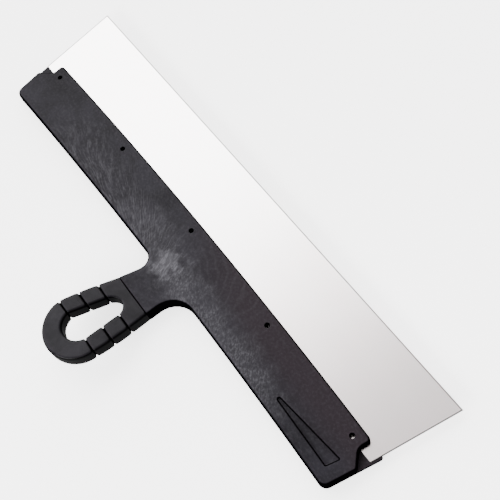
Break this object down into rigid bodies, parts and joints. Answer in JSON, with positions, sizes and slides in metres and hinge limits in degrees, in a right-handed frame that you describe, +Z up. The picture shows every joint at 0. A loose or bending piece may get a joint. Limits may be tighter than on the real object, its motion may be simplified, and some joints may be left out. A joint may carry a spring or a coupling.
{
  "type": "drywall taping knife",
  "caption": "Wide straight steel blade gripped along its back by a moulded plastic bar with a raised, grooved loop handle, for spreading joint compound.",
  "frame": {"origin": "centre of the footprint, on the flat underside of the bar", "axes": "+X along the blade's working edge, +Y from the handle towards the working edge, +Z up from the underside to the face with the wedge recess"},
  "size_m": [0.45, 0.195, 0.0247],
  "materials": {
    "stainless_steel": "finely ground and nearly mirror bright, with faint lengthwise grinding lines",
    "moulded_black": "satin charcoal moulding with grey flow marks that swirl outwards from the handle",
    "grip_black": "smooth satin charcoal, a little darker than the bar"
  },
  "bodies": {
    "root": {"blade": "stainless_steel", "upper_shell": "moulded_black", "lower_shell": "moulded_black", "tang_keys": "moulded_black", "grip_loop": "grip_black"}
  },
  "joints": []
}
